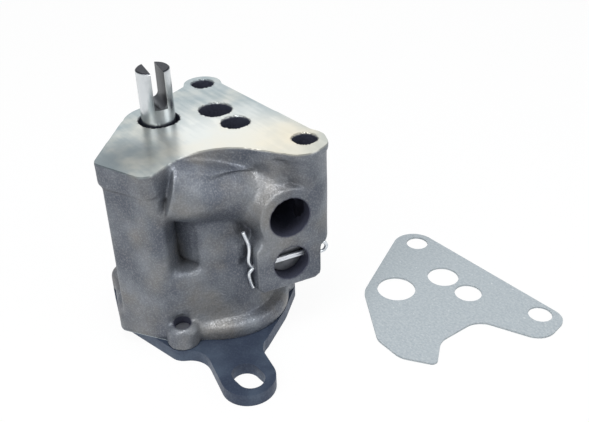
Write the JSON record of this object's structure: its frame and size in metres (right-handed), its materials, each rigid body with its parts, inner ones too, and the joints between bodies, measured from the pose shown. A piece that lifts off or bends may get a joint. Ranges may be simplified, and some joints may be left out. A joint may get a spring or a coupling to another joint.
{
  "type": "engine oil pump",
  "caption": "Gear-type engine oil pump: cast body, forked drive shaft, two meshed gears, spring relief valve, bottom cover with bracket lug and a loose mounting gasket.",
  "frame": {"origin": "the drive-shaft axis where it crosses the machined mounting face", "axes": "+Z out of the mounting face towards the engine block; +X parallel to the line between the two mounting bolts, towards the right bolt; +Y towards the bolts"},
  "size_m": [0.1488, 0.1404, 0.0978],
  "materials": {
    "cast_iron": "as-cast grey iron with machined faces",
    "machined_plate": "blued iron plate",
    "shaft_steel": "ground",
    "gear_steel": "sintered",
    "bushing_bronze": "sintered bronze",
    "zinc_wire": "bright zinc",
    "spring_steel": "drawn",
    "screw_steel": "black oxide",
    "gasket_paper": "treated gasket paper"
  },
  "bodies": {
    "housing": {"pump_body": "cast_iron", "bottom_cover": "machined_plate", "cover_seal": "gasket_paper", "idler_shaft": "shaft_steel", "upper_bushing": "bushing_bronze", "lower_bushing": "bushing_bronze", "spring_retainer": "gear_steel", "cotter_pin": "zinc_wire", "cover_screw_front": "screw_steel", "cover_screw_nose": "screw_steel", "cover_screw_left": "screw_steel", "cover_screw_back": "screw_steel", "cover_screw_right": "screw_steel", "relief_spring": "spring_steel", "mounting_gasket": "gasket_paper"},
    "drive": {"drive_shaft": "shaft_steel", "drive_gear": "gear_steel"},
    "idler": {"idler_gear": "gear_steel"},
    "plunger": {"relief_plunger": "gear_steel"}
  },
  "joints": [
    {"name": "drive_spin", "type": "hinge", "parent": "housing", "child": "drive", "pos_m": [0, 0, 0], "axis": [0, 0, 1], "continuous": true},
    {"name": "idler_spin", "type": "hinge", "parent": "housing", "child": "idler", "pos_m": [0.026, 0.00581, 0], "axis": [0, 0, 1], "continuous": true},
    {"name": "relief_slide", "type": "slide", "parent": "housing", "child": "plunger", "axis": [0.9767, -0.2147, 0], "range_m": [0, 0.005], "stiffness_N_per_m": 4500, "springref_m": -0.008, "deforming": ["relief_spring"]}
  ],
  "couplings": [
    {"joint": "idler_spin", "follows": "drive_spin", "ratio": -1}
  ]
}
